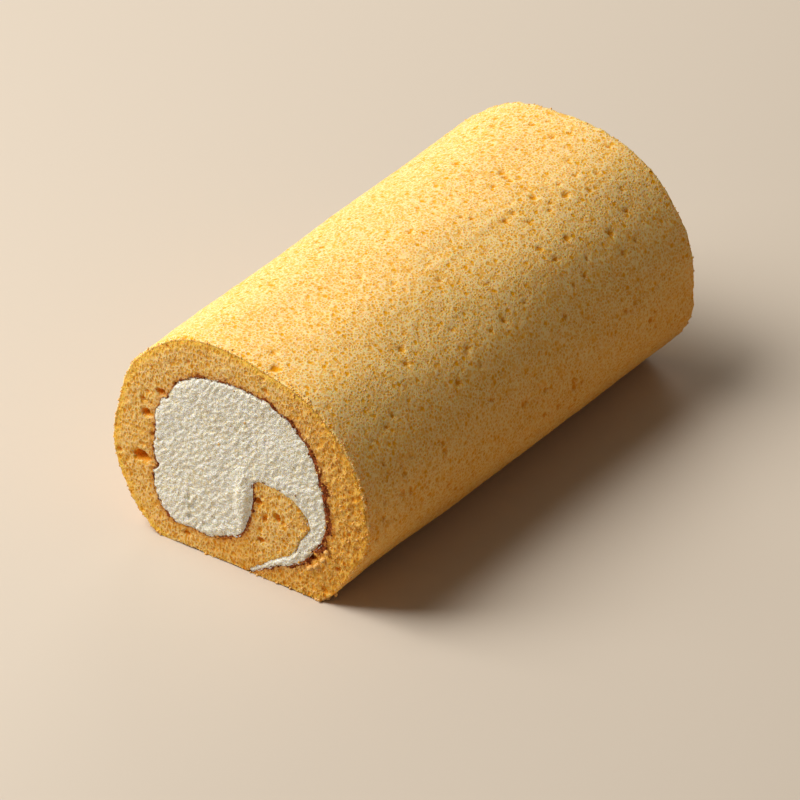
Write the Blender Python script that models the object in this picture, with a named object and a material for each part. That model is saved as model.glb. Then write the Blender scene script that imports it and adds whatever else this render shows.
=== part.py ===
"""Swiss roll cake.

A sheet of sponge, rolled once round a thick filling of whipped cream. The sheet's inner end
is tucked up into a tongue in the cream. Its outer end thins to a wedge under the tongue, and
a tail of cream runs between the two, down to the seam in the middle of the underside.

Metres, +Z up. The roll lies along Y on its flattened underside, with a cut face at each end,
and its origin is the middle of that underside.
"""
import math

import bmesh
import bpy
import numpy as np

MM = 0.001                # every size below is in millimetres

# The whole roll
LENGTH = 173.0            # from cut face to cut face
GAP = 0.3                 # clearance between the sponge and the cream
STATIONS = (0.0, 0.04, 0.1, 0.17, 0.25, 0.33, 0.42, 0.5, 0.58, 0.67, 0.75, 0.83, 0.9, 0.96, 1.0)

# Outline at fractions of the length: four superelliptic quarters on a flat base. Feet, sides
# and crown are X positions, heights are Z, and the last four are the quarters' exponents.
OUTLINES = {
    0.0: {"left_foot": -31.0, "right_foot": 29.0, "left_side": -49.0, "left_height": 27.0,
          "right_side": 48.2, "right_height": 30.0, "crown": -7.5, "height": 78.4,
          "upper_left": 2.06, "upper_right": 2.28, "lower_left": 1.5, "lower_right": 1.42},
    0.25: {"left_foot": -30.0, "right_foot": 26.8, "left_side": -51.0, "left_height": 27.2,
           "right_side": 48.8, "right_height": 27.5, "crown": -5.0, "height": 77.8,
           "upper_left": 2.1, "upper_right": 2.3, "lower_left": 1.46, "lower_right": 1.45},
    1.0: {"left_foot": -30.0, "right_foot": 27.3, "left_side": -51.0, "left_height": 27.5,
          "right_side": 51.0, "right_height": 25.0, "crown": -3.2, "height": 79.0,
          "upper_left": 2.0, "upper_right": 2.4, "lower_left": 1.46, "lower_right": 1.62},
}
UPPER_STEPS = 15          # facets in each upper quarter
LOWER_STEPS = 9           # facets in each lower quarter
BASE_STEPS = 5            # facets of the base on each side of the seam

# Soft unevenness of the outside: height of each wave, waves round the roll, waves along it, phase
WAVES = ((0.35, 3, 0.8, 0.9), (0.22, 7, -1.3, 2.1), (0.15, 11, 2.2, 4.0))
WAVE_FADE = 9.0           # height over which the waves grow from nothing above the flat base

# Thickness of the sheet where it wraps the cream, by direction in degrees round the hub,
# from the right-hand side over the top and round to the underside
HUB = (-2.0, 36.0)
WALL = {-18: 14.4, -8: 16.2, 4: 17.0, 18: 16.2, 40: 13.4, 68: 11.4, 85: 12.2, 108: 13.9, 131: 13.6,
        146: 15.9, 160: 14.4, 184: 16.2, 195: 16.6, 206: 13.2, 224: 11.2, 236: 10.0, 252: 8.4}
WALL_STEPS = 46           # facets of the sheet's inner side over that turn
WALL_DRIFT = 0.06         # share by which the thickness has changed at the far end

# The sheet's outer end: the upper side of the wedge, from the seam to the hollow of the wall
OUTER_END = ((3.8, 0.0), (7.6, 2.6), (12.6, 5.9), (20.0, 9.8), (24.6, 13.2), (27.2, 17.4),
             (30.6, 21.4))

# The sheet's inner end: the tongue, from the floor of the roll over its tip to the seam
TONGUE = ((-5.6, 9.9), (0.2, 13.2), (3.0, 19.0), (4.4, 26.5), (5.4, 34.2), (13.2, 35.3),
          (20.6, 32.8), (26.4, 25.8), (22.8, 19.2), (19.6, 12.6), (10.6, 7.0), (2.0, 0.0))
TONGUE_LEAN = -2.5        # how far the tongue's tip has moved across at the far end
CURVE_STEPS = 3           # facets between two of these points
TAIL_END = 1.0            # height above the base where the tail of cream stops

SPONGE_COLOUR = (0.78, 0.50, 0.19)
CREAM_COLOUR = (0.86, 0.82, 0.71)


def remove_everything():
    """Empty the scene."""
    for item in list(bpy.data.objects):
        bpy.data.objects.remove(item, do_unlink=True)


def make_material(name, colour, roughness):
    """A Principled material of one colour."""
    material = bpy.data.materials.new(name)
    material.use_nodes = True
    shader = material.node_tree.nodes["Principled BSDF"]
    shader.inputs["Base Color"].default_value = (*colour, 1.0)
    shader.inputs["Roughness"].default_value = roughness
    shader.inputs["Metallic"].default_value = 0.0
    return material


def outline_sizes(fraction):
    """The outline's named sizes at a fraction of the length."""
    places = sorted(OUTLINES)
    return {name: np.interp(fraction, places, [OUTLINES[place][name] for place in places])
            for name in OUTLINES[0.0]}


def quarter(start, end, exponent, steps):
    """A superelliptic quarter from start, where it runs level, to end, where it runs upright."""
    (start_x, start_z), (end_x, end_z) = start, end
    turn = np.linspace(0.0, math.pi / 2, steps + 1)
    across = np.sin(turn) ** (2 / exponent)
    up = np.cos(turn).clip(0.0) ** (2 / exponent)
    return np.column_stack((start_x + (end_x - start_x) * across, end_z + (start_z - end_z) * up))


def outline(size):
    """The roll's outline from the seam round by the left, the crown and the right to the seam."""
    left_foot, right_foot = (size["left_foot"], 0.0), (size["right_foot"], 0.0)
    left_side = (size["left_side"], size["left_height"])
    right_side = (size["right_side"], size["right_height"])
    crown = (size["crown"], size["height"])
    return np.vstack((
        np.linspace(TONGUE[-1], left_foot, BASE_STEPS + 1)[1:],
        quarter(left_foot, left_side, size["lower_left"], LOWER_STEPS)[1:],
        quarter(crown, left_side, size["upper_left"], UPPER_STEPS)[-2::-1],
        quarter(crown, right_side, size["upper_right"], UPPER_STEPS)[1:],
        quarter(right_foot, right_side, size["lower_right"], LOWER_STEPS)[-2::-1],
        np.linspace(right_foot, OUTER_END[0], BASE_STEPS + 1)[1:-1],
    ))


def roughen(points, fraction):
    """Push the outline's points in or out by the soft waves, and leave the base flat."""
    offset = points - HUB
    angle = np.arctan2(offset[:, 1], offset[:, 0])
    push = sum(height * np.sin(round_waves * angle + 2 * math.pi * along_waves * fraction + phase)
               for height, round_waves, along_waves, phase in WAVES)
    push = push * (points[:, 1] / WAVE_FADE).clip(0.0, 1.0)
    return points + offset / np.linalg.norm(offset, axis=1)[:, None] * push[:, None]


def smooth_curve(knots):
    """A curve through the knots, with a few facets between each two of them."""
    knots = np.asarray(knots)
    slopes = np.gradient(knots, axis=0)
    curve = []
    for index in range(len(knots) - 1):
        for t in np.arange(CURVE_STEPS) / CURVE_STEPS:
            start_weight = 2 * t ** 3 - 3 * t ** 2 + 1
            curve.append(knots[index] * start_weight + knots[index + 1] * (1 - start_weight)
                         + slopes[index] * (t ** 3 - 2 * t ** 2 + t)
                         + slopes[index + 1] * (t ** 3 - t ** 2))
    return np.array(curve + [knots[-1]])


def wall_curve(skin, fraction):
    """The sheet's inner side where it wraps the cream: the skin less the sheet's thickness."""
    directions = np.linspace(min(WALL), max(WALL), WALL_STEPS + 1)
    turn = np.radians(directions)
    offset = (skin - HUB)[::-1]
    skin_turn = np.unwrap(np.arctan2(offset[:, 1], offset[:, 0]))
    radius = np.interp(turn, skin_turn, np.linalg.norm(offset, axis=1))
    thickness = np.interp(directions, list(WALL), list(WALL.values()))
    thickness = np.convolve(np.pad(thickness, 1, mode="edge"), (0.25, 0.5, 0.25), mode="valid")
    inner = radius - thickness * (1 + WALL_DRIFT * fraction * np.sin(2 * turn))
    return np.column_stack((HUB[0] + inner * np.cos(turn), HUB[1] + inner * np.sin(turn)))


def inner_side(skin, size, fraction):
    """The sheet's inner side, from the seam round the cream and over the tongue to the seam."""
    stretch = size["right_side"] / OUTLINES[0.0]["right_side"]
    outer_end, tongue = smooth_curve(OUTER_END), smooth_curve(TONGUE)
    outer_end[:, 0] += (stretch - 1) * outer_end[:, 1]
    tip_height = tongue[:, 1].max()
    tongue[:, 0] += TONGUE_LEAN * fraction * tongue[:, 1] / tip_height
    return np.vstack((outer_end, wall_curve(skin, fraction), tongue))


def sponge_section(fraction):
    """The sheet's closed section: its outside, then its inner side."""
    size = outline_sizes(fraction)
    skin = roughen(outline(size), fraction)
    return np.vstack((skin, inner_side(skin, size, fraction)))


def cream_section(fraction):
    """The cream's closed section: the sheet's inner side, moved in by the gap."""
    size = outline_sizes(fraction)
    path = inner_side(roughen(outline(size), fraction), size, fraction)
    along = np.gradient(path, axis=0)
    along /= np.linalg.norm(along, axis=1)[:, None]
    inset = path + GAP * np.column_stack((-along[:, 1], along[:, 0]))
    return inset[path[:, 1] > TAIL_END]


def loft(name, section, material):
    """One closed solid through the sections at all stations."""
    mesh = bmesh.new()
    rings = []
    for fraction in STATIONS:
        y = (fraction - 0.5) * LENGTH
        rings.append([mesh.verts.new((x * MM, y * MM, z * MM)) for x, z in section(fraction)])
    for near, far in zip(rings, rings[1:]):
        for index in range(len(near)):
            mesh.faces.new((near[index - 1], near[index], far[index], far[index - 1]))
    for ring in (rings[0], rings[-1]):
        mesh.faces.new(ring)
    mesh.normal_update()
    bmesh.ops.triangulate(mesh, faces=mesh.faces[:])
    bmesh.ops.recalc_face_normals(mesh, faces=mesh.faces[:])
    data = bpy.data.meshes.new(name)
    mesh.to_mesh(data)
    mesh.free()
    data.materials.append(material)
    data.shade_smooth()
    data.set_sharp_from_angle(angle=math.radians(40))
    item = bpy.data.objects.new(name, data)
    bpy.context.scene.collection.objects.link(item)


def main():
    """Build the sponge and the cream."""
    remove_everything()
    loft("sponge", sponge_section, make_material("sponge", SPONGE_COLOUR, 0.9))
    loft("cream", cream_section, make_material("cream", CREAM_COLOUR, 0.55))


main()
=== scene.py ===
"""The looks of the swiss roll cake: crumb, skin, browned line, whipped cream and crumbs."""
import math

import bmesh
import bpy
import numpy as np
from mathutils import Euler, Matrix, Vector, noise
from mathutils.geometry import delaunay_2d_cdt


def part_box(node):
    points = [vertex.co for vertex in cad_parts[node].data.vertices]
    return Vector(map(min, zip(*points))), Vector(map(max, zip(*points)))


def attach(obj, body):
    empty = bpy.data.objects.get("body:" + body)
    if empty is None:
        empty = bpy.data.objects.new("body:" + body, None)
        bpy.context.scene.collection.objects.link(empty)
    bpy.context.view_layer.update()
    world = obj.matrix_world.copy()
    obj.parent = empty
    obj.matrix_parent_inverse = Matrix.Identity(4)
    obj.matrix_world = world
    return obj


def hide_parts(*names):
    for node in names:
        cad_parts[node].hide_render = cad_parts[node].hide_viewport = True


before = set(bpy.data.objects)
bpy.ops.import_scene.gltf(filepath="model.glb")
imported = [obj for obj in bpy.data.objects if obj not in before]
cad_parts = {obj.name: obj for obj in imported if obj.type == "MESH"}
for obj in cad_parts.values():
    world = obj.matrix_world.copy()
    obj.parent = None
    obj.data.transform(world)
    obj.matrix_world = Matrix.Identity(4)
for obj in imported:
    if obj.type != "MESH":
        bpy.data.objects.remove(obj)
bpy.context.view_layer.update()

MM = 0.001
low_corner, high_corner = (np.array(corner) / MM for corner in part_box("sponge"))
FRONT_Y, BACK_Y = low_corner[1], high_corner[1]
LENGTH = BACK_Y - FRONT_Y

# --- The section of the roll, in millimetres: the same named sizes as the solids have ---

# Outline at fractions of the length: four superelliptic quarters on a flat base. Feet, sides
# and crown are X positions, heights are Z, and the last four are the quarters' exponents.
OUTLINES = {
    0.0: {"left_foot": -31.0, "right_foot": 29.0, "left_side": -49.0, "left_height": 27.0,
          "right_side": 48.2, "right_height": 30.0, "crown": -7.5, "height": 78.4,
          "upper_left": 2.06, "upper_right": 2.28, "lower_left": 1.5, "lower_right": 1.42},
    0.25: {"left_foot": -30.0, "right_foot": 26.8, "left_side": -51.0, "left_height": 27.2,
           "right_side": 48.8, "right_height": 27.5, "crown": -5.0, "height": 77.8,
           "upper_left": 2.1, "upper_right": 2.3, "lower_left": 1.46, "lower_right": 1.45},
    1.0: {"left_foot": -30.0, "right_foot": 27.3, "left_side": -51.0, "left_height": 27.5,
          "right_side": 51.0, "right_height": 25.0, "crown": -3.2, "height": 79.0,
          "upper_left": 2.0, "upper_right": 2.4, "lower_left": 1.46, "lower_right": 1.62},
}

# Soft unevenness of the outside: height of each wave, waves round the roll, waves along it, phase
WAVES = ((0.35, 3, 0.8, 0.9), (0.22, 7, -1.3, 2.1), (0.15, 11, 2.2, 4.0))
WAVE_FADE = 9.0           # height over which the waves grow from nothing above the flat base

# Thickness of the sheet where it wraps the cream, by direction in degrees round the hub
HUB = np.array((-2.0, 36.0))
WALL = {-18: 14.4, -8: 16.2, 4: 17.0, 18: 16.2, 40: 13.4, 68: 11.4, 85: 12.2, 108: 13.9, 131: 13.6,
        146: 15.9, 160: 14.4, 184: 16.2, 195: 16.6, 206: 13.2, 224: 11.2, 236: 10.0, 252: 8.4}
WALL_DRIFT = 0.06         # share by which the thickness has changed at the far end

# Bumps of the sheet's inner side into the cream, and hollows, which have a height below 0:
# direction and half-width in degrees, and height
BUMPS = ((199.0, 2.6, 1.7), (152.0, 2.5, -0.9), (66.0, 3.0, -0.7), (14.0, 4.0, 0.7),
         (221.0, 4.0, -0.8))
BUMP_FADE = 0.8           # share of their height that is gone at the far end

# The sheet's outer end, a wedge, from the seam up, and its inner end, the tongue, from the
# floor of the roll over its tip down to the seam
OUTER_END = ((3.8, 0.0), (7.6, 2.6), (12.6, 5.9), (20.0, 9.8), (24.6, 13.2), (27.2, 17.4),
             (30.6, 21.4))
TONGUE = ((-5.6, 9.9), (0.2, 13.2), (3.0, 19.0), (4.4, 26.5), (5.4, 34.2), (13.2, 35.3),
          (20.6, 32.8), (26.4, 25.8), (22.8, 19.2), (19.6, 12.6), (10.6, 7.0), (2.0, 0.0))
TONGUE_LEAN = -2.5        # how far the tongue's tip has moved across at the far end
SLIT_NARROWING = 0.42     # how much closer the sheet's two ends lie near the seam
TONGUE_TIP = 4            # the knot of the tongue up to which its side is browned
CURVE_STEPS = 16          # points from one knot of an end to the next

# --- How finely the pieces are divided, in millimetres ---

SKIN_STEP = 0.86
BASE_STEP = 2.4
INNER_STEP = 0.8
SPONGE_CUT_STEP = 0.57
CREAM_CUT_STEP = 0.42
INNER_ROWS = 12           # rows along the hidden sides
FIRST_ROW = 1.1           # from a cut edge to the first full row of the skin
RIM = 0.35                # how far a cut edge is rounded
BROWNED_POINTS = (60, 200, 50)      # of the browned line on the wedge, the wall and the tongue


# --- Fields over points ---

def field(points, size, seed):
    """Soft noise from about -1 to 1 at points in millimetres, with features of that size."""
    places = points / size + seed * 17.31
    return np.array([noise.noise(place) for place in places.tolist()])


def cells(points, size, seed):
    """Distance to the nearest scattered centre, in cells, and two random numbers of its own."""
    distance, first, second = [], [], []
    for place in (points / size + seed * 9.17).tolist():
        distances, centres = noise.voronoi(place)
        distance.append(distances[0])
        first.append(noise.cell(centres[0] * 31.7))
        second.append(noise.cell(centres[0] * 57.3 + Vector((5.0, 3.0, 1.0))))
    return np.array(distance), np.array(first) % 1.0, np.array(second) % 1.0


def step(values, low, high):
    """0 below low, 1 above high, smooth between. Low may be the larger."""
    t = ((values - low) / (high - low)).clip(0.0, 1.0)
    return t * t * (3 - 2 * t)


def pores(points, size, seed, share, width):
    """How far inside round pores the points lie, in millimetres, and negative outside them."""
    distance, chosen, breadth = cells(points, size, seed)
    return np.where(chosen < share, (width * (0.6 + 0.6 * breadth) - distance) * size, -size)


def distance_to(points, path):
    """Distance from each point to a path, and the place along it as an index with a fraction."""
    starts, runs = path[:-1], np.diff(path, axis=0)
    squares = (runs ** 2).sum(axis=1).clip(1e-12)
    nearest, places = [], []
    for batch in np.array_split(points, max(1, len(points) // 2000)):
        offset = batch[:, None] - starts
        share = ((offset * runs).sum(axis=2) / squares).clip(0.0, 1.0)
        gaps = np.linalg.norm(offset - share[..., None] * runs, axis=2)
        index = gaps.argmin(axis=1)
        rows = np.arange(len(batch))
        nearest.append(gaps[rows, index])
        places.append(index + share[rows, index])
    return np.concatenate(nearest), np.concatenate(places)


def with_depth(flat, depth=0.0):
    """Section points with the same third number added to all."""
    return np.column_stack((flat, np.full(len(flat), depth)))


def reach_from(flat, spot):
    """Distance of (x, z) points from an oval spot's middle, which is 1 at its edge."""
    middle, half_widths = spot
    return np.linalg.norm((flat - middle) / half_widths, axis=1)


def direction_of(flat):
    """Direction of (x, z) points round the hub, in radians."""
    offset = flat - HUB
    return np.arctan2(offset[:, 1], offset[:, 0])


# --- The runs of the section ---

def outline_sizes(fraction):
    """The outline's named sizes at a fraction of the length."""
    places = sorted(OUTLINES)
    return {name: np.interp(fraction, places, [OUTLINES[place][name] for place in places])
            for name in OUTLINES[0.0]}


def quarter(start, end, exponent):
    """A superelliptic quarter from start, where it runs level, to end, where it runs upright."""
    turn = np.linspace(0.0, math.pi / 2, 61)[:, None]
    shares = np.hstack((np.sin(turn), 1.0 - np.cos(turn).clip(0.0) ** (2 / exponent)))
    shares[:, 0] **= 2 / exponent
    return np.array(start) + shares * (np.array(end) - np.array(start))


def evenly(path, count):
    """The path's points moved to be evenly spaced, that many of them."""
    reach = np.concatenate(((0.0,), np.cumsum(np.linalg.norm(np.diff(path, axis=0), axis=1))))
    places = np.linspace(0.0, reach[-1], count)
    return np.column_stack([np.interp(places, reach, path[:, axis]) for axis in (0, 1)])


def smooth_curve(knots, steps=CURVE_STEPS):
    """A curve through the knots, with that many points from one knot to the next."""
    knots = np.asarray(knots)
    slopes = np.gradient(knots, axis=0)
    t = (np.arange(steps) / steps)[:, None]
    ease = 2 * t ** 3 - 3 * t ** 2 + 1
    pieces = [knots[i] * ease + knots[i + 1] * (1 - ease) + slopes[i] * (t ** 3 - 2 * t ** 2 + t)
              + slopes[i + 1] * (t ** 3 - t ** 2) for i in range(len(knots) - 1)]
    return np.vstack((*pieces, knots[-1:]))


def roughen(points, fraction):
    """Push the outline's points in or out by soft waves, and leave the base flat."""
    offset = points - HUB
    angle = direction_of(points)
    push = sum(height * np.sin(round_waves * angle + 2 * math.pi * along_waves * fraction + phase)
               for height, round_waves, along_waves, phase in WAVES)
    push = push * (points[:, 1] / WAVE_FADE).clip(0.0, 1.0)
    return points + offset / np.linalg.norm(offset, axis=1)[:, None] * push[:, None]


def wall_path(outside, fraction):
    """The sheet's inner side where it wraps the cream, inside an outline."""
    outer_radius = np.linalg.norm(outside - HUB, axis=1)
    directions = np.linspace(min(WALL), max(WALL), 300)
    turn = np.radians(directions)
    radius = np.interp(turn, np.unwrap(direction_of(outside)), outer_radius)
    thickness = np.interp(directions, list(WALL), list(WALL.values()))
    thickness = np.convolve(np.pad(thickness, 3, mode="edge"), np.full(7, 1 / 7), mode="valid")
    for direction, half_width, height in BUMPS:
        fade = 1 - BUMP_FADE * fraction
        thickness += height * fade * np.exp(-((directions - direction) / half_width) ** 2)
    loop = np.column_stack((np.cos(turn), np.sin(turn), np.full(len(turn), fraction * 3))) * 30
    thickness += 0.55 * field(loop, 5.0, 41) + 0.22 * field(loop, 1.9, 42)
    inner = radius - thickness * (1 + WALL_DRIFT * fraction * np.sin(2 * turn))
    return HUB + np.column_stack((inner * np.cos(turn), inner * np.sin(turn)))


def end_paths(fraction, stretch):
    """The upper side of the wedge and the tongue, at a fraction of the length."""
    wedge, tongue = smooth_curve(OUTER_END), smooth_curve(TONGUE)
    wedge[:, 0] += (stretch - 1) * wedge[:, 1]
    tongue[:, 0] += TONGUE_LEAN * fraction * tongue[:, 1] / tongue[:, 1].max()
    beyond_tip = np.arange(len(tongue)) > TONGUE_TIP * CURVE_STEPS
    for path, sign in ((wedge, 1.0), (tongue, -1.0 * beyond_tip)):
        narrowing = SLIT_NARROWING * step(path[:, 1], 0.0, 2.0) * step(path[:, 1], 13.0, 6.0)
        path[:, 1] += sign * narrowing
    for path, seed in ((wedge, 43), (tongue, 44)):
        spots = with_depth(path, fraction * 90)
        wander = 0.35 * field(spots, 3.5, seed) + 0.15 * field(spots, 1.4, seed)
        path[:, 0] += wander * step(path[:, 1], 0.3, 6.0)
    return wedge, tongue


def section_paths(fraction):
    """The section's runs in order: base, skin, base, wedge, wall and tongue."""
    size = outline_sizes(fraction)
    left_foot, right_foot = (size["left_foot"], 0.0), (size["right_foot"], 0.0)
    left_side = (size["left_side"], size["left_height"])
    right_side = (size["right_side"], size["right_height"])
    crown = (size["crown"], size["height"])
    skin = roughen(np.vstack((
        quarter(left_foot, left_side, size["lower_left"]),
        quarter(crown, left_side, size["upper_left"])[-2::-1],
        quarter(crown, right_side, size["upper_right"])[1:],
        quarter(right_foot, right_side, size["lower_right"])[-2::-1],
    )), fraction)
    left_base = np.array((TONGUE[-1], left_foot))
    right_base = np.array((right_foot, OUTER_END[0]))
    outside = np.vstack((evenly(left_base, 40), skin, evenly(right_base, 40)))
    stretch = size["right_side"] / OUTLINES[0.0]["right_side"]
    wedge, tongue = end_paths(fraction, stretch)
    return left_base, skin, right_base, wedge, wall_path(outside[::-1], fraction), tongue


def path_length(path):
    """How long a path is."""
    return np.linalg.norm(np.diff(path, axis=0), axis=1).sum()


def run_counts():
    """How many points each run of the section gets."""
    spacings = (BASE_STEP, SKIN_STEP, BASE_STEP, INNER_STEP, INNER_STEP, INNER_STEP)
    return [int(path_length(path) / spacing) + 1
            for path, spacing in zip(section_paths(0.0), spacings)]


COUNTS = run_counts()
OUTER_COUNT = sum(count - 1 for count in COUNTS[:3]) + 1       # points from seam to seam outside


def section(fraction):
    """The sheet's closed section as points of fixed count: its outside, then its inner side."""
    runs = [evenly(path, count) for path, count in zip(section_paths(fraction), COUNTS)]
    outside = np.vstack((runs[0], runs[1][1:], runs[2][1:]))
    inside = np.vstack((runs[3][1:], runs[4], runs[5][1:-1]))
    return outside, inside


def browned_path(fraction):
    """The browned side of the sheet, from the seam round the cream and up the tongue to its tip."""
    wedge, wall, tongue = section_paths(fraction)[3:]
    runs = (wedge, wall, tongue[:TONGUE_TIP * CURVE_STEPS + 1])
    return np.vstack([evenly(run, count) for run, count in zip(runs, BROWNED_POINTS)])


# --- Building closed meshes with finely divided cut faces ---

def inside_polygon(points, ring):
    """Which points lie inside a closed ring."""
    hits = np.zeros(len(points), bool)
    for (x0, z0), (x1, z1) in zip(ring, np.roll(ring, -1, axis=0)):
        if z0 != z1:
            crosses = (z0 > points[:, 1]) != (z1 > points[:, 1])
            hits ^= crosses & (points[:, 0] < (x1 - x0) * (points[:, 1] - z0) / (z1 - z0) + x0)
    return hits


def fill_ring(ring, spacing, seed):
    """Points that fill a ring, and triangles over ring and points, anticlockwise in (x, z)."""
    low, high = ring.min(axis=0), ring.max(axis=0)
    rows = np.arange(low[1], high[1], spacing * math.sqrt(0.75))
    columns = np.arange(low[0], high[0], spacing)
    grid = np.array([(x + spacing / 2 * (index % 2), z)
                     for index, z in enumerate(rows) for x in columns])
    grid += np.random.default_rng(seed).uniform(-0.22, 0.22, grid.shape) * spacing
    grid = grid[inside_polygon(grid, ring)]
    closed = np.vstack((ring, ring[:1]))
    grid = grid[distance_to(grid, closed)[0] > 0.5 * spacing]
    order = list(range(len(ring)))[::-1]
    corners = [Vector(point) for point in np.vstack((ring, grid)).tolist()]
    _, _, triangles, sources, _, _ = delaunay_2d_cdt(corners, [], [order], 1, 1e-7)
    lookup = [source[0] for source in sources]
    return grid, [tuple(lookup[corner] for corner in triangle) for triangle in triangles]


def build_mesh(name, rings, fine, cut_step, seed):
    """A closed mesh through rings of (x, z) points at the rows' places along Y.

    rings holds (y, points) pairs. The first `fine` points of a ring are joined row by row, and
    the others only at every few rows. Returns the object and the vertices' kinds: 0 on the
    sides, 1 on the front cut, 2 on the back cut.
    """
    count = len(rings[0][1])
    verts = [np.vstack([np.column_stack((points[:, 0], np.full(count, y), points[:, 1]))
                        for y, points in rings])]
    faces = []
    last = len(rings) - 1
    for row in range(last):
        start = row * count
        for column in range(fine - 1):
            corner = start + column
            faces.append((corner, corner + 1, corner + 1 + count, corner + count))
    coarse = np.unique(np.linspace(0, last, INNER_ROWS + 1).astype(int)).tolist()
    for low, high in zip(coarse, coarse[1:]):
        for column in range(fine, count - 1):
            faces.append((low * count + column, low * count + column + 1,
                          high * count + column + 1, high * count + column))
        for edge, inner, forward in ((fine - 1, fine, True), (0, count - 1, False)):
            fan = [(low * count + inner, (row + 1) * count + edge, row * count + edge)
                   for row in range(low, high)]
            fan.append((low * count + inner, high * count + inner, high * count + edge))
            faces += fan if forward else [face[::-1] for face in fan]
    kinds = [np.zeros(len(rings) * count, int)]
    total = len(verts[0])
    for kind, row in ((1, 0), (2, last)):
        y, ring = rings[row]
        grid, triangles = fill_ring(ring, cut_step, seed + kind)
        verts.append(np.column_stack((grid[:, 0], np.full(len(grid), y), grid[:, 1])))
        for triangle in triangles:
            moved = tuple(corner + row * count if corner < count else corner - count + total
                          for corner in triangle)
            faces.append(moved if kind == 1 else moved[::-1])
        kinds.append(np.full(len(grid), kind))
        total += len(grid)
    mesh = bpy.data.meshes.new(name)
    mesh.from_pydata((np.vstack(verts) * MM).tolist(), [], faces)
    piece = bpy.data.objects.new(name, mesh)
    bpy.context.scene.collection.objects.link(piece)
    return piece, np.concatenate(kinds)


def places_of(piece):
    """The vertices' places in millimetres, and their normals."""
    mesh = piece.data
    places = np.empty(len(mesh.vertices) * 3, np.float32)
    mesh.vertices.foreach_get("co", places)
    normals = np.empty(len(mesh.vertices) * 3, np.float32)
    mesh.vertex_normals.foreach_get("vector", normals)
    return places.reshape(-1, 3).astype(float) / MM, normals.reshape(-1, 3).astype(float)


def set_places(piece, places):
    """Move the vertices to places in millimetres."""
    piece.data.vertices.foreach_set("co", (places * MM).astype(np.float32).ravel())
    piece.data.update()


def set_values(piece, name, values):
    """Store one number for each vertex, for the materials to read."""
    layer = piece.data.attributes.new(name, "FLOAT", "POINT")
    layer.data.foreach_set("value", values.astype(np.float32))


# --- Sponge ---

NO_PIT = -3.0             # how far inside a pit a point is that lies away from all of them
BROWNED_SHARE = 0.44      # of the tongue's points, from the floor of the roll to its tip
TONGUE_SPOT = ((13.5, 21.0), (13.0, 16.0))     # middle and half-widths of the spot on the cut faces where most of the painted shade is held back

# Larger holes in the shown cut face and in the far one: x, z, half-widths and depth
HOLES = ((-29.8, 53.4, 1.9, 1.2, 2.2), (-35.5, 43.6, 1.9, 1.4, 2.4), (-37.9, 26.8, 3.2, 2.0, 3.4),
         (-20.8, 4.8, 1.5, 1.1, 1.5), (6.9, 27.6, 1.3, 1.5, 2.2), (14.3, 24.4, 1.0, 1.7, 1.8),
         (7.8, 13.6, 1.7, 1.0, 1.7), (9.2, 22.0, 1.0, 1.3, 1.4), (-33.4, 36.6, 1.0, 0.9, 1.2),
         (37.0, 14.6, 1.3, 0.9, 1.4), (27.6, 15.4, 1.9, 1.2, 2.2), (-36.6, 48.2, 1.0, 0.8, 1.1))
BACK_HOLES = ((-34.0, 30.0, 1.9, 1.2, 1.8), (38.5, 22.0, 1.4, 1.7, 1.5), (41.2, 44.0, 1.1, 1.6, 1.2),
              (-24.0, 66.2, 1.3, 0.9, 1.1), (13.5, 20.0, 1.2, 1.5, 1.3), (26.0, 64.0, 2.0, 1.0, 1.4))
# Larger pits in the skin: direction from the hub in degrees, place along the roll from its
# middle, half-length along the roll and half-width across it
SKIN_PITS = ((82, 45.8, 1.6, 1.1), (76, 43.7, 1.1, 0.9), (87, 59.6, 1.0, 0.8), (67, 65.7, 1.0, 0.8),
             (77, 77.2, 0.9, 0.8), (55, 52.0, 2.0, 1.0), (61, 53.0, 1.0, 0.8), (60, 61.5, 0.9, 0.9),
             (37, 67.1, 1.1, 1.0), (61, 80.7, 0.9, 0.8), (57, 45.0, 1.0, 0.8), (55, 41.9, 1.0, 0.8),
             (72, 18.8, 1.1, 0.9), (76, 17.0, 0.9, 0.8), (56, 32.5, 1.0, 0.8), (46, -43.3, 1.3, 1.1),
             (41, -45.4, 1.1, 0.9), (24, -32.0, 1.2, 1.3), (31, -2.6, 0.9, 1.1), (31, -8.7, 1.0, 1.0),
             (32, -21.5, 1.0, 0.9), (26, -66.2, 1.0, 1.0), (0, -64.8, 0.9, 2.0), (0, -6.0, 0.8, 1.5),
             (71, -82.6, 2.0, 1.3), (-2, 64.9, 0.9, 1.2))

# Depth of the browned side on a cut face, by direction in degrees round the hub
CRUST = {0: 2.1, 25: 2.0, 60: 1.2, 100: 0.8, 130: 0.8, 160: 0.65, 230: 0.6, 265: 0.5, 300: 0.6,
         330: 1.4, 360: 2.1}
TONGUE_CRUST = 1.0        # its depth on the tongue

# Soft folds in the upper skin, as (x, y) points
FOLDS = (((13.0, -24.0), (16.0, -16.0), (17.4, -8.0), (16.3, 10.0), (16.4, 27.0), (18.7, 39.9),
          (24.0, 46.0), (31.0, 56.0)),
         ((30.6, -32.0), (30.0, -17.0), (29.0, -4.0)))
FOLD_HEIGHT = 0.16
FOLD_STEPS = 6            # points from one of these to the next


def skin_pits(points):
    """How far inside the larger pits the skin's points lie, in millimetres."""
    directions = np.degrees(direction_of(points[:, (0, 2)]))
    inside = np.full(len(points), NO_PIT)
    for direction, along, half_length, half_width in SKIN_PITS:
        nearest = ((directions - direction) * 0.7) ** 2 + (points[:, 1] - along) ** 2
        apart = points - points[nearest.argmin()]
        across = np.hypot(apart[:, 0], apart[:, 2]) / half_width
        reach = 1 - np.hypot(apart[:, 1] / half_length, across)
        inside = np.maximum(inside, reach * min(half_length, half_width))
    return inside


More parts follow.
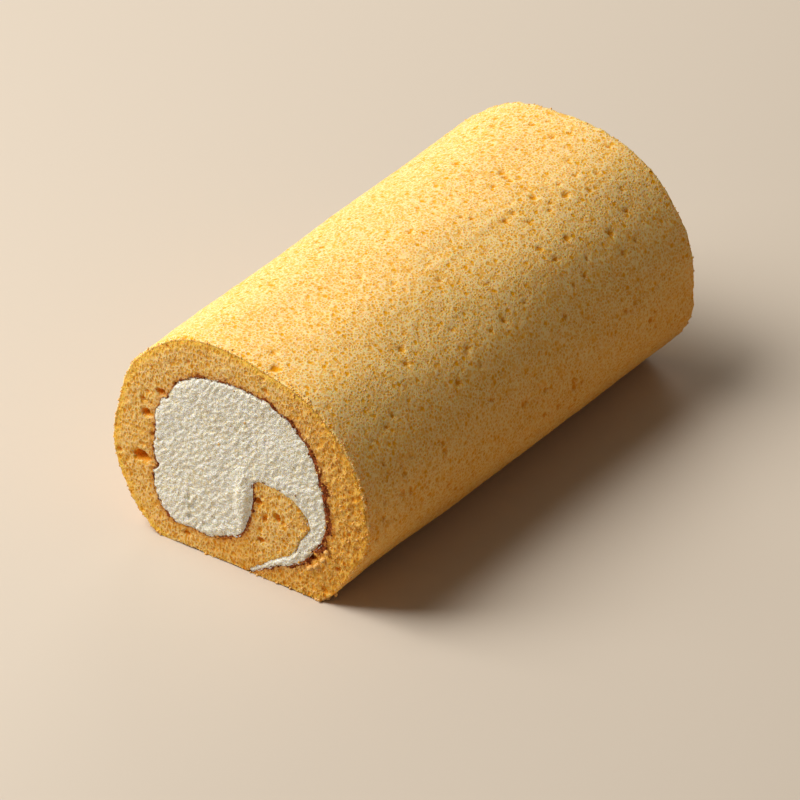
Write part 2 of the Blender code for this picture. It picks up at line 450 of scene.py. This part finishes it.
def folds(points):
    """Height of the soft folds at points of the skin."""
    height = np.zeros(len(points))
    for fold in FOLDS:
        gap, place = distance_to(points[:, :2], smooth_curve(fold, FOLD_STEPS))
        last = (len(fold) - 1.0) * FOLD_STEPS
        taper = step(place, 0.0, 8.0) * step(place, last, last - 8.0)
        height += FOLD_HEIGHT * taper * np.exp(-(gap / 1.4) ** 2)
    return height * (points[:, 2] > 50.0)


def hole_depth(flat, holes):
    """Depth in millimetres of rounded holes at (x, z) points."""
    depth = np.zeros(len(flat))
    for x, z, half_width, half_height, deepest in holes:
        reach = reach_from(flat, ((x, z), (half_width, half_height)))
        reach = reach + 0.25 * field(with_depth(flat), 1.6, 3 + x)
        depth = np.maximum(depth, deepest * step(reach, 1.15, 0.55))
    return depth


def skin_relief(points):
    """The skin's depth, how far inside pits it is, and how far its ragged foot is lifted."""
    swell = 0.16 * field(points, 9.0, 1) + 0.10 * field(points, 3.6, 2) + 0.09 * field(points, 1.9, 3)
    from_end = np.minimum(points[:, 1] - FRONT_Y, BACK_Y - points[:, 1])
    ragged = step(from_end, 3.5, 0.0)
    swell += ragged * (0.30 * field(points, 2.6, 12) + 0.28 * field(points, 1.3, 13) - 0.1)
    swell += folds(points)
    often = 0.30 + 0.25 * field(points, 38.0, 14)
    pit = np.maximum(pores(points, 4.4, 4, often, 0.24), pores(points, 9.5, 5, often * 0.9, 0.13))
    pit = np.maximum(pit, skin_pits(points))
    depth = (0.75 * step(pit, -0.2, 0.7) - swell) * step(points[:, 2], 0.0, 2.5)
    lift = ragged * step(points[:, 2], 3.0, 0.0) * (0.35 + 0.7 * field(points, 2.8, 15)).clip(0.0)
    return depth, pit, lift


def crumb_relief(points, holes):
    """A cut face's depth and how far inside pits it is. Its right side is torn more deeply."""
    torn = 0.6 + 0.9 * step(points[:, 0], 12.0, 34.0)
    crumb = 0.20 * field(points, 6.0, 6)
    crumb += torn * (0.30 * field(points, 2.2, 7) + 0.30 * field(points, 1.3, 8))
    small = pores(points, 3.6, 9, 0.28, 0.27)
    hole = hole_depth(points[:, (0, 2)], holes)
    return 0.7 * step(small, -0.2, 0.6) + hole - crumb, np.maximum(small, hole - 0.5)


def crust_depth(path):
    """How deep the browned side reaches into the sheet at points of the browned path."""
    directions = np.degrees(direction_of(path)) % 360.0
    depth = np.interp(directions, list(CRUST), list(CRUST.values()))
    depth *= 1 + 0.9 * field(with_depth(path), 4.0, 52)
    depth[-BROWNED_POINTS[-1]:] = TONGUE_CRUST
    return depth


def sponge_values(places, kinds, hidden, browned, pit):
    """The numbers that the sponge's material reads: in millimetres, or painted shade and cut from 0
    to 1.
    """
    flat = places[:, (0, 2)]
    cut = kinds > 0
    brown = np.full(len(places), 30.0)
    rim = np.zeros(len(places))
    for kind, fraction in ((1, 0.0), (2, 1.0)):
        face = kinds == kind
        path = browned_path(fraction)
        gap, place = distance_to(flat[face], path)
        brown[face] = gap - np.interp(place, np.arange(len(path)), crust_depth(path))
        rim[face] = distance_to(flat[face], section_paths(fraction)[1])[0]
    brown[hidden] = np.where(browned[hidden], -0.3, 2.0)
    rim[hidden] = 10.0
    # Painted shade: how much the colour is deepened, more towards the bottom and the right of the
    # skin, and on the right of the cut faces, which lie in shade
    painted_shade = step(places[:, 2], 68.0, 14.0) * (0.3 + 0.7 * step(places[:, 0], -30.0, 10.0))
    painted_shade = np.maximum(painted_shade, cut * step(places[:, 0], 10.0, 44.0))
    painted_shade *= 1 - 0.8 * cut * step(reach_from(flat, TONGUE_SPOT), 1.2, 0.7)
    return {"brown": brown, "rim": rim, "pit": pit, "painted_shade": painted_shade, "cut": cut | hidden}


def sponge_rings():
    """The sheet's section at the rows along the roll, drawn in a little at the two cut edges."""
    middle = np.linspace(FIRST_ROW, LENGTH - FIRST_ROW, int((LENGTH - 2 * FIRST_ROW) / SKIN_STEP))
    rings = []
    for place in np.concatenate(((0.0, RIM), middle, (LENGTH - RIM, LENGTH))):
        outside, inside = section(place / LENGTH)
        if place in (0.0, LENGTH):
            toward_hub = HUB - outside
            lift = step(outside[:, 1], 0.0, 3.0)[:, None]
            outside = outside + lift * RIM * toward_hub / np.linalg.norm(toward_hub, axis=1)[:, None]
        rings.append((FRONT_Y + place, np.vstack((outside, inside))))
    return rings


def make_sponge():
    """The sheet of sponge, with pitted skin and open crumb on its cut faces."""
    rings = sponge_rings()
    piece, kinds = build_mesh("sponge_cake", rings, OUTER_COUNT, SPONGE_CUT_STEP, 11)
    places, normals = places_of(piece)
    count = len(rings[0][1])
    column = np.arange(len(places)) % count
    on_rings = np.arange(len(places)) < count * len(rings)
    hidden = on_rings & (column >= OUTER_COUNT)
    skin = on_rings & ~hidden
    browned_end = OUTER_COUNT + COUNTS[3] - 1 + COUNTS[4] + int((COUNTS[5] - 1) * BROWNED_SHARE)

    depth, lift = np.zeros((2, len(places)))
    pit = np.full(len(places), NO_PIT)
    depth[skin], pit[skin], lift[skin] = skin_relief(places[skin])
    for kind, holes in ((1, HOLES), (2, BACK_HOLES)):
        face = kinds == kind
        depth[face], pit[face] = crumb_relief(places[face], holes)
    moved = places - normals * depth[:, None]
    moved[:, 2] = (moved[:, 2] + lift).clip(0.0)
    set_places(piece, moved)
    for name, values in sponge_values(places, kinds, hidden, column < browned_end, pit).items():
        set_values(piece, name, values)
    return piece


# --- Cream ---

CREAM_REACH = 0.5         # how far the cream reaches into the sponge, so that no gap shows

# Spots on a cut face, each as its middle and its half-widths
SMEAR = ((18.5, 53.0), (4.0, 7.0))             # wiped smooth by the knife
CLOTS = ((-18.0, 14.0), (10.0, 5.0))           # pulled open into small hollows
BESIDE_TONGUE = ((1.5, 25.0), (3.0, 12.0))     # standing out as a rounded ridge


def make_cream():
    """The whipped cream: one body along the roll, with its grain and knife marks on the cuts."""
    rows = np.linspace(0.0, LENGTH, INNER_ROWS + 1)
    rings = []
    for place in rows:
        inside = section(place / LENGTH)[1]
        along = np.gradient(inside, axis=0)
        along /= np.linalg.norm(along, axis=1)[:, None]
        outward = np.column_stack((along[:, 1], -along[:, 0]))
        ragged = 0.3 * field(with_depth(inside, place), 2.3, 21)
        above_seam = inside[:, 1] > 0.8
        ring = (inside + outward * (CREAM_REACH + ragged.clip(-0.2, 0.4))[:, None])[above_seam]
        rings.append((FRONT_Y + place, ring))
    count = min(len(ring) for _, ring in rings)
    rings = [(y, evenly(ring, count)) for y, ring in rings]
    piece, kinds = build_mesh("whipped_cream", rings, 1, CREAM_CUT_STEP, 31)
    places, _ = places_of(piece)
    for kind, side, (_, ring) in ((1, -1.0, rings[0]), (2, 1.0, rings[-1])):
        face = kinds == kind
        points = places[face]
        flat = points[:, (0, 2)]
        edge = distance_to(flat, np.vstack((ring, ring[:1])))[0]
        places[face, 1] += side * cream_relief(points, flat, edge)
    set_places(piece, places)
    return piece


def cream_relief(points, flat, edge):
    """How far the cream stands out of the cut, at its points."""
    slant = math.radians(50)
    across = flat @ (math.sin(slant), -math.cos(slant))
    along = flat @ (math.cos(slant), math.sin(slant))
    stroke = np.column_stack((across, along / 2.6, points[:, 1]))
    smear = step(reach_from(flat, SMEAR), 1.3, 0.5)
    strokes = 0.34 * field(stroke, 0.9, 22) * (1 - 0.8 * smear)
    grain = (0.24 * field(points, 1.1, 23) + 0.12 * field(points, 2.6, 24)) * (1 - 0.6 * smear)
    lumps = 0.35 * field(points, 10.0, 25)
    torn = step(reach_from(flat, CLOTS), 1.5, 0.4) * step(pores(points, 3.4, 26, 0.6, 0.4), -0.3, 0.8)
    beside_tongue = step(reach_from(flat, BESIDE_TONGUE), 1.4, 0.3)
    tail = step(flat[:, 0], 18.0, 26.0) * step(flat[:, 1], 40.0, 30.0)
    round_edge = 0.45 * (1 - step(edge, 0.0, 1.1)) + beside_tongue * (1 - step(edge, 0.0, 2.4))
    return 0.3 + strokes + grain + lumps - torn - round_edge + 1.1 * beside_tongue - 0.3 * tail


# --- Crumbs ---

# The larger crumbs at the right foot: x, place from the shown cut face, z and half-size
LARGE_CRUMBS = ((29.5, -0.2, 13.0, 1.3), (31.6, -0.2, 16.2, 1.0), (27.0, -0.2, 11.4, 0.9),
                (33.0, -0.2, 19.4, 0.8), (30.2, 0.6, 0.7, 0.9), (31.6, 2.4, 1.2, 1.2),
                (33.2, 4.2, 2.0, 0.9))


def value_of(piece, name):
    """The numbers stored on a piece's vertices."""
    values = np.empty(len(piece.data.vertices), np.float32)
    piece.data.attributes[name].data.foreach_get("value", values)
    return values


def scatter(surface, wanted, count, sizes, tone, random):
    """Crumbs at random ones of the wanted vertices, small ones more often than large ones."""
    places, normals = surface
    small, large = sizes
    for index in random.choice(np.flatnonzero(wanted), count):
        size = small + (large - small) * random.random() ** 2
        yield places[index], normals[index], size, tone


def crumb_spots(sponge, cream, random):
    """Where crumbs lie: place, direction out of the surface, half-size and how brown."""
    on_sponge, on_cream = places_of(sponge), places_of(cream)
    rim, browned, cut = (value_of(sponge, name) for name in ("rim", "brown", "cut"))
    x, y, z = on_sponge[0].T
    spots = []
    for end, amount in ((FRONT_Y, 1.0), (BACK_Y, 0.5)):
        face = (abs(y - end) < 1.5) & (cut > 0.5)
        crust = face & (browned > -1.2)
        cream_face = abs(on_cream[0][:, 1] - end) < 1.6
        for surface, wanted, count, sizes, tone in (
            (on_sponge, (abs(y - end) < 1.6) & (rim < 0.7) & (z > 1.0), 280, (0.16, 0.38), 0.0),
            (on_sponge, face & (x > 14.0) & (z > 1.0) & (rim > 1.0), 170, (0.20, 0.48), 0.1),
            (on_sponge, crust & (browned < 0.4) & (x > 5.0) & (z > 4.0), 120, (0.20, 0.50), 1.0),
            (on_sponge, crust & (browned < 0.3) & (x < 5.0) & (z > 2.0), 60, (0.15, 0.34), 0.8),
            (on_cream, cream_face, 9, (0.20, 0.45), 0.1),
            (on_cream, cream_face & (on_cream[0][:, 0] > 16.0), 7, (0.15, 0.32), 0.9),
        ):
            spots += scatter(surface, wanted, int(count * amount), sizes, tone, random)
    foot = (abs(y - FRONT_Y) < 1.6) & (z < 1.4) & (rim < 1.5)
    spots += scatter(on_sponge, foot, 90, (0.20, 0.55), 0.05, random)
    skin = (abs(y) < 84.0) & (cut < 0.5) & (z > 20.0) & (rim < 9.0)
    spots += scatter(on_sponge, skin, 70, (0.12, 0.30), 0.0, random)
    for across, out, up, size in LARGE_CRUMBS:
        spots.append((np.array((across, FRONT_Y + out, up)), np.array((0.0, -1.0, 0.0)), size, 0.1))
    return spots


def make_crumbs(sponge, cream):
    """Loose crumbs and torn bits on the cuts and the skin, as one piece."""
    random = np.random.default_rng(5)
    shape = bmesh.new()
    bmesh.ops.create_icosphere(shape, subdivisions=2, radius=1.0)
    points = np.array([vertex.co[:] for vertex in shape.verts])
    corners = [tuple(vertex.index for vertex in face.verts) for face in shape.faces]
    shape.free()
    verts, faces, brown = [], [], []
    for number, (place, outward, size, tone) in enumerate(crumb_spots(sponge, cream, random)):
        lumps = 1 + 0.42 * field(points * 1.2 + number * 3.1, 1.0, 51)
        crumb = points * lumps[:, None] * size * random.uniform(0.65, 1.25, 3)
        turn = Euler(random.uniform(0, 6.28, 3)).to_matrix()
        crumb = crumb @ np.array(turn) + place + outward * size * 0.15
        faces += [tuple(corner + len(verts) for corner in face) for face in corners]
        verts += crumb.tolist()
        brown += [tone] * len(points)
    mesh = bpy.data.meshes.new("loose_crumbs")
    verts = np.array(verts)
    verts[:, 2] = verts[:, 2].clip(0.05)
    mesh.from_pydata((verts * MM).tolist(), [], faces)
    piece = bpy.data.objects.new("loose_crumbs", mesh)
    bpy.context.scene.collection.objects.link(piece)
    set_values(piece, "brown", np.array(brown))
    return piece


# --- Materials ---

class Nodes:
    """Short ways to add shader nodes to one material."""

    def __init__(self, name):
        self.material = bpy.data.materials.new(name)
        self.material.use_nodes = True
        self.tree = self.material.node_tree
        self.shader = self.tree.nodes["Principled BSDF"]

    def add(self, kind, inputs, **settings):
        """A node with its settings and its inputs, which are values or other nodes' outputs."""
        node = self.tree.nodes.new(kind)
        for setting, value in settings.items():
            setattr(node, setting, value)
        self.fill(node, inputs)
        return node

    def fill(self, node, inputs):
        """Give a node its inputs."""
        for socket, value in inputs.items():
            if isinstance(value, bpy.types.NodeSocket):
                self.tree.links.new(value, node.inputs[socket])
            else:
                node.inputs[socket].default_value = value

    def value(self, name):
        """A number stored on the mesh."""
        return self.add("ShaderNodeAttribute", {}, attribute_name=name).outputs["Fac"]

    def math(self, operation, *values):
        """One sum."""
        inputs = dict(enumerate(values))
        return self.add("ShaderNodeMath", inputs, operation=operation).outputs[0]

    def step(self, value, low, high, out_low=0.0, out_high=1.0):
        """A smooth step of a value from one range to another."""
        inputs = {"Value": value, "From Min": low, "From Max": high,
                  "To Min": out_low, "To Max": out_high}
        node = self.add("ShaderNodeMapRange", inputs, interpolation_type="SMOOTHSTEP")
        return node.outputs["Result"]

    def mix(self, share, first, second, blend="MIX"):
        """One colour over another."""
        inputs = {0: share, 6: first, 7: second}
        return self.add("ShaderNodeMix", inputs, data_type="RGBA", blend_type=blend).outputs[2]

    def noise(self, place, size, detail=2.0):
        """Noise with features of that size in millimetres."""
        inputs = {"Vector": place, "Scale": 1.0 / size, "Detail": detail, "Roughness": 0.6}
        return self.add("ShaderNodeTexNoise", inputs)

    def cells(self, place, size, feature="F1"):
        """Voronoi cells of that size in millimetres."""
        inputs = {"Vector": place, "Scale": 1.0 / size}
        return self.add("ShaderNodeTexVoronoi", inputs, feature=feature)

    def random(self, cell, index):
        """One of the random numbers of Voronoi cells."""
        return self.add("ShaderNodeSeparateColor", {0: cell.outputs["Color"]}).outputs[index]

    def vector(self, operation, first, second):
        """One sum of vectors."""
        inputs = {0: first, 1: second}
        return self.add("ShaderNodeVectorMath", inputs, operation=operation).outputs[0]

    def place(self):
        """The place on the object, in millimetres."""
        spot = self.add("ShaderNodeTexCoord", {}).outputs["Object"]
        return self.vector("MULTIPLY", spot, (1 / MM,) * 3)

    def shifted(self, place, size, amount):
        """The place, pushed about by noise."""
        cloud = self.noise(place, size, 1.0).outputs["Color"]
        inputs = {0: self.vector("ADD", cloud, (-0.5,) * 3), "Scale": amount}
        scaled = self.add("ShaderNodeVectorMath", inputs, operation="SCALE").outputs[0]
        return self.vector("ADD", place, scaled)

    def relief(self, height, strength, distance):
        """Turn a height into the shader's surface relief, of a depth in millimetres."""
        metres = self.math("MULTIPLY", distance, MM)
        inputs = {"Height": height, "Strength": strength, "Distance": metres}
        self.fill(self.shader, {"Normal": self.add("ShaderNodeBump", inputs).outputs[0]})

    def finish(self, base, roughness, shine, **more):
        """Set the surface's colour, how rough and shiny it is, and the shader's other inputs."""
        names = {name.replace("_", " ").title(): value for name, value in more.items()}
        self.fill(self.shader, {"Base Color": base, "Roughness": roughness,
                                "Specular IOR Level": shine, **names})
        return self.material


def colour(red, green, blue):
    """A colour from sRGB numbers of 0 to 255."""
    linear = [value / 255 / 12.92 if value < 11 else ((value / 255 + 0.055) / 1.055) ** 2.4
              for value in (red, green, blue)]
    return (*linear, 1.0)


SKIN, SKIN_LIGHT = colour(242, 182, 76), colour(247, 190, 88)
# Paler wall tone: painted highlight on the lit crests between the pores
SKIN_WALL_HIGHLIGHT = colour(253, 222, 158)
# Deeper orange for pores and larger pits: painted shade and bounced light inside the hollows
SKIN_PORE_SHADE, SKIN_PIT_SHADE = colour(236, 163, 0), colour(232, 155, 12)
# Deeper tint multiplied in as painted shade on the lower and right sides of the skin
SKIN_PAINTED_SHADE = colour(248, 214, 150)
CRUMB, CRUMB_LIGHT = colour(223, 166, 64), colour(229, 175, 76)
# Paler wall tone: painted highlight on the lit crests between the pores
CRUMB_WALL_HIGHLIGHT = colour(242, 207, 140)
# Yellow of the cut faces' rim: the sheet's yellower outer crumb, brightened as a painted glow of
# light shining through the edge
CRUMB_RIM_AND_GLOW = colour(255, 207, 80)
# Deeper orange for pores and holes: painted shade and bounced light inside the hollows
CRUMB_PORE_SHADE, CRUMB_HOLE_SHADE = colour(216, 142, 14), colour(242, 166, 44)
# Deeper tint multiplied in as painted shade on the right of the cut faces and low down
CRUMB_PAINTED_SHADE = colour(244, 222, 160)
TOASTED = colour(196, 118, 48)
CRUST_DARK, CRUST_LIGHT = colour(110, 50, 18), colour(164, 86, 36)
CREAM, CREAM_LIGHT = colour(238, 238, 228), colour(244, 245, 237)
# Yellower tone for the grain's hollows: painted warm shade
CREAM_HOLLOW_SHADE = colour(232, 212, 156)
LOOSE, LOOSE_LIGHT, LOOSE_BROWN = colour(226, 164, 66), colour(240, 200, 136), colour(116, 54, 20)
FLOOR = colour(203, 192, 178)


def foam(nodes, place):
    """Sponge pores: depth in them, wall between them, fine grain and large pits, from 0 to 1. The
    material paints pores deeper as their shade and walls paler as lit crests; depth and wall also
    make the relief.
    """
    upright = nodes.step(nodes.value("cut"), 0.0, 1.0, 1.0, 0.7)
    drawn = nodes.add("ShaderNodeCombineXYZ", {0: 1.0, 1: 1.0, 2: upright}).outputs[0]
    bent = nodes.shifted(nodes.vector("MULTIPLY", place, drawn), 1.3, 0.7)
    first = nodes.cells(bent, 1.9)
    share = nodes.step(nodes.random(first, 0), 0.25, 0.75)
    reach = nodes.math("MULTIPLY_ADD", nodes.random(first, 1), 0.26, 0.18)
    inside = nodes.math("SUBTRACT", reach, first.outputs["Distance"])
    pore = nodes.math("MULTIPLY", nodes.step(inside, -0.12, 0.16), share)
    second = nodes.cells(bent, 1.05)
    share = nodes.math("POWER", nodes.random(second, 1), 1.2)
    fine = nodes.math("MULTIPLY", nodes.step(second.outputs["Distance"], 0.62, 0.05), share)
    rough = nodes.math("SUBTRACT", nodes.noise(place, 0.9, 1.0).outputs["Fac"], 0.5)
    large = nodes.step(nodes.math("MULTIPLY_ADD", rough, 1.4, nodes.value("pit")), -0.3, 0.6)
    depth = nodes.math("MAXIMUM", nodes.math("MAXIMUM", pore, fine), large)
    grain = nodes.noise(place, 0.5, 2.0).outputs["Fac"]
    edge = nodes.cells(bent, 1.05, "DISTANCE_TO_EDGE").outputs["Distance"]
    strand = nodes.step(nodes.noise(place, 1.5, 1.0).outputs["Fac"], 0.25, 0.55)
    wall = nodes.math("MULTIPLY", nodes.step(edge, 0.28, 0.06), strand)
    return depth, wall, grain, large


def sponge_material():
    """Pale pitted skin, open crumb where cut, and the browned line along the inner side. Painted into
    the colour are the pores' shade, the walls' highlight, a partly painted glow at the cut rim and
    the shade on the lower and right sides.
    """
    nodes = Nodes("sponge_crumb")
    place = nodes.place()
    cut = nodes.value("cut")
    depth, wall, grain, hollow = foam(nodes, place)
    patches = nodes.noise(place, 16.0, 2.0).outputs["Fac"]
    painted_shade = nodes.value("painted_shade")

    skin = nodes.mix(nodes.step(patches, 0.35, 0.65), SKIN, SKIN_LIGHT)
    # Painted highlight: the pore walls paler, as lit crests
    skin = nodes.mix(wall, skin, SKIN_WALL_HIGHLIGHT)
    # Painted shade: pores and pits deeper orange, for the shade and bounced light inside them
    skin = nodes.mix(depth, skin, nodes.mix(hollow, SKIN_PORE_SHADE, SKIN_PIT_SHADE))
    # Painted shade: the skin's colour deepened on its shaded lower and right sides
    skin = nodes.mix(nodes.math("MULTIPLY", painted_shade, 0.8), skin, SKIN_PAINTED_SHADE, "MULTIPLY")

    crumb = nodes.mix(nodes.step(patches, 0.35, 0.65), CRUMB, CRUMB_LIGHT)
    # Painted highlight: the pore walls paler, as lit crests
    crumb = nodes.mix(wall, crumb, CRUMB_WALL_HIGHLIGHT)
    # The rim of the cut faces: partly the sheet's yellower outer crumb, partly a painted glow of
    # light shining through the edge, weaker where the painted shade lies
    rim = nodes.math("MULTIPLY", nodes.step(nodes.value("rim"), 4.5, 0.6),
                     nodes.math("MULTIPLY_ADD", painted_shade, -0.5, 0.85))
    crumb = nodes.mix(rim, crumb, CRUMB_RIM_AND_GLOW)
    # Painted shade: pores and holes deeper orange, for the shade and bounced light inside them
    crumb = nodes.mix(depth, crumb, nodes.mix(hollow, CRUMB_PORE_SHADE, CRUMB_HOLE_SHADE))
    # Painted shade: the crumb's colour deepened on the right of the cut faces and low down
    crumb = nodes.mix(nodes.math("MULTIPLY", painted_shade, 0.8), crumb, CRUMB_PAINTED_SHADE, "MULTIPLY")

    ragged = nodes.math("SUBTRACT", nodes.noise(place, 1.3, 3.0).outputs["Fac"], 0.5)
    brown = nodes.math("MULTIPLY_ADD", ragged, -3.8, nodes.value("brown"))
    toasted = nodes.math("MULTIPLY", nodes.step(brown, 2.4, 0.0), 0.5)
    crumb = nodes.mix(toasted, crumb, TOASTED)
    crust = nodes.mix(nodes.step(grain, 0.4, 0.6), CRUST_DARK, CRUST_LIGHT)
    crumb = nodes.mix(nodes.step(brown, 0.35, -0.35), crumb, crust)

    base = nodes.mix(cut, skin, crumb)
    height = nodes.math("MULTIPLY_ADD", wall, 0.5, nodes.math("MULTIPLY", grain, 0.3))
    height = nodes.math("SUBTRACT", height, depth)
    nodes.relief(height, strength=0.9, distance=nodes.step(cut, 0.0, 1.0, 0.14, 0.28))
    return nodes.finish(base, roughness=0.85, shine=0.15, subsurface_weight=0.3,
                        subsurface_radius=(1.0, 0.5, 0.10), subsurface_scale=4.0 * MM)


def cream_material():
    """Off-white whipped cream with a fine grain, and painted warm shade in the grain's hollows."""
    nodes = Nodes("cream_grain")
    place = nodes.place()
    bent = nodes.shifted(place, 1.2, 0.5)
    grain = nodes.noise(bent, 0.8, 2.0).outputs["Fac"]
    patches = nodes.noise(place, 9.0, 2.0).outputs["Fac"]
    tone = nodes.mix(nodes.step(patches, 0.3, 0.7), CREAM, CREAM_LIGHT)
    # Painted shade: the grain's low spots, which the relief sinks, turn yellower
    tone = nodes.mix(nodes.step(grain, 0.56, 0.30, 0.0, 0.8), tone, CREAM_HOLLOW_SHADE)
    nodes.relief(grain, strength=1.0, distance=0.9)
    return nodes.finish(tone, roughness=0.38, shine=0.45, subsurface_weight=0.3,
                        subsurface_radius=(1.0, 0.85, 0.5), subsurface_scale=1.0 * MM)


def crumb_material():
    """Crumbs from pale sponge to browned skin."""
    nodes = Nodes("crumb_bits")
    place = nodes.place()
    grain = nodes.noise(place, 0.5, 2.0).outputs["Fac"]
    tone = nodes.mix(nodes.step(grain, 0.4, 0.6), LOOSE, LOOSE_LIGHT)
    tone = nodes.mix(nodes.value("brown"), tone, LOOSE_BROWN)
    nodes.relief(grain, strength=0.8, distance=0.3)
    return nodes.finish(tone, roughness=0.85, shine=0.15)


# --- Stage ---

# The camera's angles, and its lengths in millimetres
CAMERA_AZIMUTH = math.radians(35.91)      # from straight in front, towards the right
CAMERA_HEIGHT = math.radians(33.43)       # above level
CAMERA_DISTANCE = 2112.0                  # to the plane through the foot of the shown cut
CAMERA_ASIDE = (48.8, 51.7)               # how far right and up of that foot the camera aims
CAMERA_LENS = 310.0

# The lights, in metres and watts: name, place, the place it is aimed at, width, power and tint
LIGHTS = (
    ("key", (-0.74, -0.45, 1.25), (0.0, 0.0, 0.03), 0.9, 28.5, (1.0, 0.965, 0.91)),
    ("back_fill", (-0.45, 0.72, 0.35), (0.0, 0.086, 0.04), 0.4, 1.6, (1.0, 0.97, 0.92)),
    ("front_fill", (-0.42, -0.40, 0.36), (-0.02, -0.086, 0.03), 0.2, 0.65, (1.0, 0.99, 0.98)),
)
ROOM_TINT = (1.0, 0.84, 0.64, 1.0)
ROOM_LIGHT = 0.13
FLOOR_REACH = 6.0                         # metres from the middle to the floor's sides


def make_camera():
    """A long lens, above and to the right of the shown cut face."""
    azimuth, height = CAMERA_AZIMUTH, CAMERA_HEIGHT
    back = Vector((math.sin(azimuth) * math.cos(height), -math.cos(azimuth) * math.cos(height),
                   math.sin(height)))
    right = Vector((math.cos(azimuth), math.sin(azimuth), 0.0))
    up = back.cross(right)
    foot = Vector((0.0, FRONT_Y, 0.0))
    spot = foot + back * CAMERA_DISTANCE + right * CAMERA_ASIDE[0] + up * CAMERA_ASIDE[1]
    data = bpy.data.cameras.new("camera")
    data.lens = CAMERA_LENS
    data.clip_end = 10.0
    camera = bpy.data.objects.new("camera", data)
    turn = Matrix((right, up, back)).transposed()
    camera.matrix_world = Matrix.Translation(spot * MM) @ turn.to_4x4()
    bpy.context.scene.collection.objects.link(camera)
    bpy.context.scene.camera = camera


def make_light(name, spot, aim, width, power, tint):
    """A square soft light at a spot, turned to its aim, both in metres."""
    data = bpy.data.lights.new(name, "AREA")
    data.size = width
    data.energy = power
    data.color = tint
    light = bpy.data.objects.new(name, data)
    light.location = spot
    light.rotation_euler = (Vector(aim) - Vector(spot)).to_track_quat("-Z", "Y").to_euler()
    bpy.context.scene.collection.objects.link(light)


def make_stage():
    """Floor, lights and the light of the room."""
    mesh = bpy.data.meshes.new("floor")
    corners = [(x * FLOOR_REACH, y * FLOOR_REACH, 0) for x, y in ((-1, -1), (1, -1), (1, 1), (-1, 1))]
    mesh.from_pydata(corners, [], [(0, 1, 2, 3)])
    floor = bpy.data.objects.new("floor", mesh)
    mesh.materials.append(Nodes("floor_paint").finish(FLOOR, roughness=0.9, shine=0.5))
    bpy.context.scene.collection.objects.link(floor)
    for light in LIGHTS:
        make_light(*light)
    world = bpy.data.worlds.new("studio")
    world.use_nodes = True
    background = world.node_tree.nodes["Background"]
    background.inputs["Color"].default_value = ROOM_TINT
    background.inputs["Strength"].default_value = ROOM_LIGHT
    bpy.context.scene.world = world
    bpy.context.scene.view_settings.view_transform = "Standard"


def dress(piece, material, node, in_place=True):
    """Finish a piece, and put it in place of its solid."""
    piece.data.materials.append(material)
    piece.data.shade_smooth()
    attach(piece, "root")
    if in_place:
        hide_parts(node)


sponge_cake = make_sponge()
whipped_cream = make_cream()
dress(make_crumbs(sponge_cake, whipped_cream), crumb_material(), "sponge", in_place=False)
dress(sponge_cake, sponge_material(), "sponge")
dress(whipped_cream, cream_material(), "cream")
make_stage()
make_camera()
